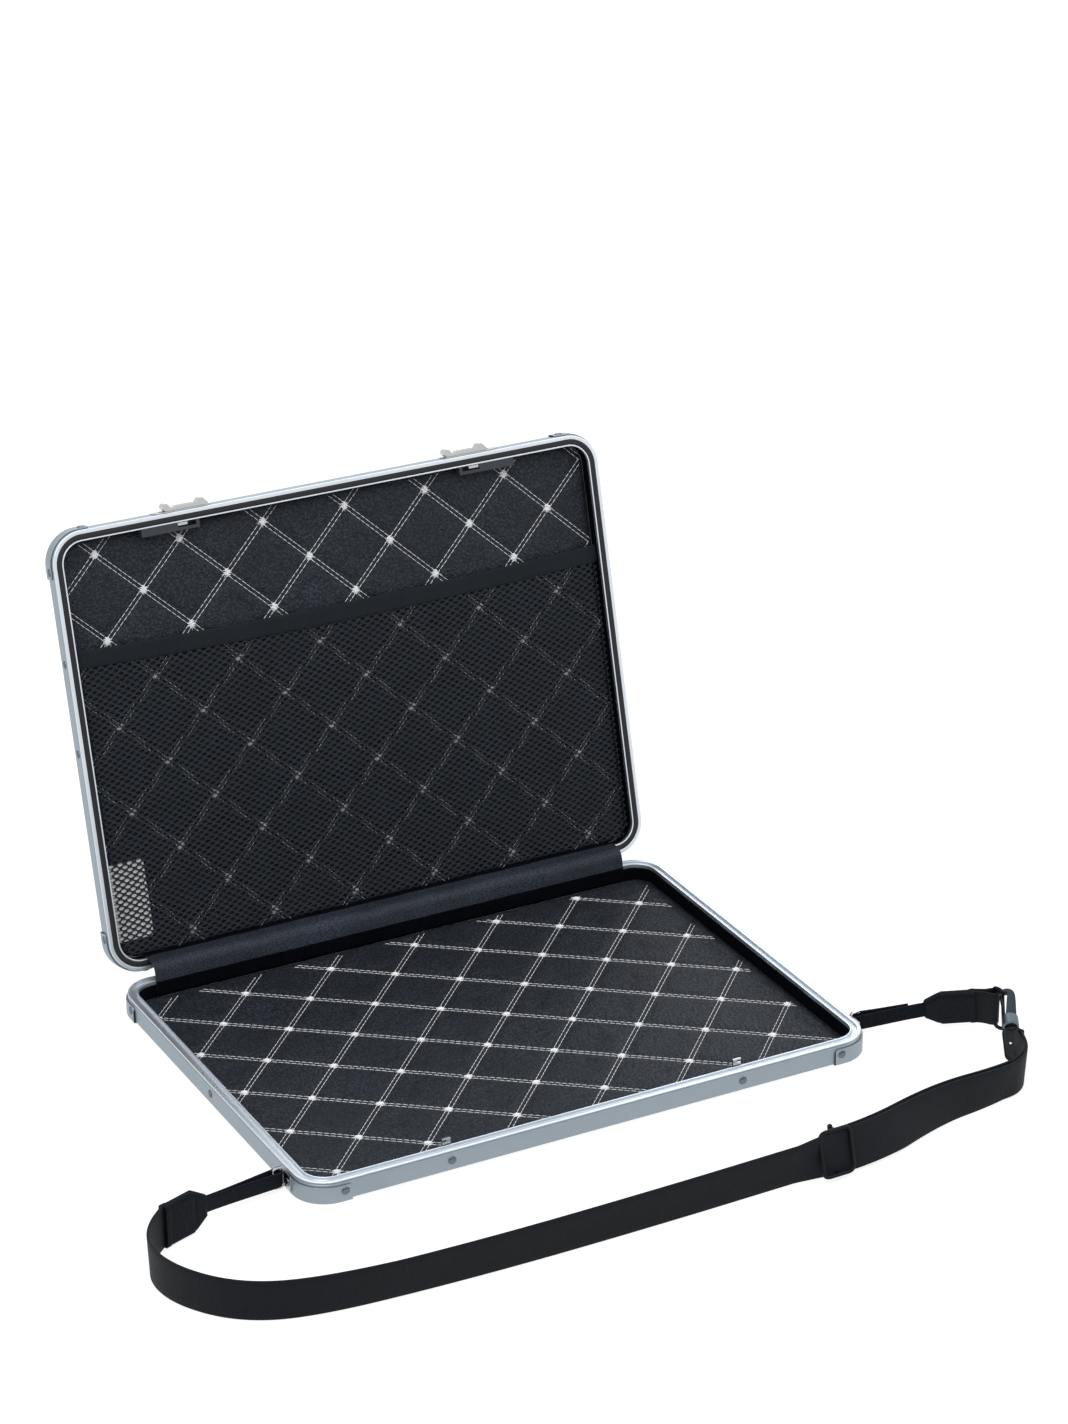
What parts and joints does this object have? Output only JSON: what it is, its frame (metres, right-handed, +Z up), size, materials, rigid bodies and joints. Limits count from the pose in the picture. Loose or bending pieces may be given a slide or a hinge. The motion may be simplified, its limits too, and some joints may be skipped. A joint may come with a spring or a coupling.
{
  "type": "aluminium laptop case",
  "caption": "Slim open laptop case: two riveted aluminium frames on a long hinge, quilted liners, net pocket, slide latches and a webbing strap with snap hook.",
  "frame": {"origin": "middle of the base panel's underside, on the surface that the case stands on", "axes": "+X to the right along the hinge, +Y to the back towards the hinge, +Z up"},
  "size_m": [0.5323, 0.4413, 0.2713],
  "materials": {
    "frame_aluminium": "satin anodised extrusion",
    "panel_aluminium": "satin sheet",
    "cap_aluminium": "bright pressed sheet",
    "rivet_steel": "bright",
    "hinge_steel": "satin",
    "chrome": "polished",
    "spring_steel": "bright",
    "housing_plastic": "semi-gloss moulding",
    "liner_leather": "quilted soft leatherette",
    "lining_leather": "grained leatherette",
    "gasket_rubber": "matte",
    "net_fabric": "knitted net",
    "binding_fabric": "ribbed elastic",
    "label_card": "blank card",
    "strap_leather": "smooth",
    "webbing_fabric": "woven webbing",
    "strap_metal": "black coated"
  },
  "bodies": {
    "base": {"base_frame": "frame_aluminium", "base_panel": "panel_aluminium", "base_corner_cap_front_left": "cap_aluminium", "base_corner_cap_front_right": "cap_aluminium", "base_corner_cap_back_left": "cap_aluminium", "base_corner_cap_back_right": "cap_aluminium", "base_cap_rivets": "rivet_steel", "base_wall_rivets": "rivet_steel", "keeper_rivets": "rivet_steel", "hinge_base_rivets": "rivet_steel", "hinge_base_leaf": "hinge_steel", "hinge_pin": "hinge_steel", "latch_keeper_left": "chrome", "latch_keeper_right": "chrome", "strap_lug_left": "chrome", "strap_lug_right": "chrome", "base_liner": "liner_leather", "base_side_lining": "lining_leather", "hinge_cover": "lining_leather", "strap_tab_left": "strap_leather", "strap_tab_right": "strap_leather", "strap_end_left": "strap_leather", "strap_end_right": "strap_leather", "strap_webbing": "webbing_fabric", "strap_return": "webbing_fabric", "strap_short": "webbing_fabric", "strap_slider": "strap_metal", "strap_ring": "strap_metal", "strap_clip": "strap_metal", "strap_hook": "strap_metal", "hook_gate": "strap_metal"},
    "lid": {"lid_frame": "frame_aluminium", "lid_panel": "panel_aluminium", "lid_liner": "liner_leather", "lid_side_lining": "lining_leather", "lid_gasket": "gasket_rubber", "lid_cap_rivets": "rivet_steel", "lid_wall_rivets": "rivet_steel", "hinge_lid_leaf": "hinge_steel", "hinge_lid_rivets": "rivet_steel", "pocket_net": "net_fabric", "pocket_binding": "binding_fabric", "pocket_label": "label_card", "lid_corner_cap_front_left": "cap_aluminium", "lid_corner_cap_front_right": "cap_aluminium", "lid_corner_cap_back_left": "cap_aluminium", "lid_corner_cap_back_right": "cap_aluminium", "latch_bezel_left": "chrome", "latch_housing_left": "housing_plastic", "latch_spring_left": "spring_steel", "latch_bezel_right": "chrome", "latch_housing_right": "housing_plastic", "latch_spring_right": "spring_steel"},
    "latch_left": {"latch_button_left": "chrome", "latch_hook_left": "chrome"},
    "latch_right": {"latch_button_right": "chrome", "latch_hook_right": "chrome"}
  },
  "joints": [
    {"name": "lid_hinge", "type": "hinge", "parent": "base", "child": "lid", "pos_m": [0, 0.1323, 0.01325], "axis": [1, 0, 0], "range_deg": [0, 104.3], "deforming": ["hinge_cover"]},
    {"name": "latch_slide_left", "type": "slide", "parent": "lid", "child": "latch_left", "axis": [-1, 0, 0], "range_m": [0, 0.005], "stiffness_N_per_m": 150, "springref_m": -0.004, "deforming": ["latch_spring_left"]},
    {"name": "latch_slide_right", "type": "slide", "parent": "lid", "child": "latch_right", "axis": [1, 0, 0], "range_m": [0, 0.005], "stiffness_N_per_m": 150, "springref_m": -0.004, "deforming": ["latch_spring_right"]}
  ]
}
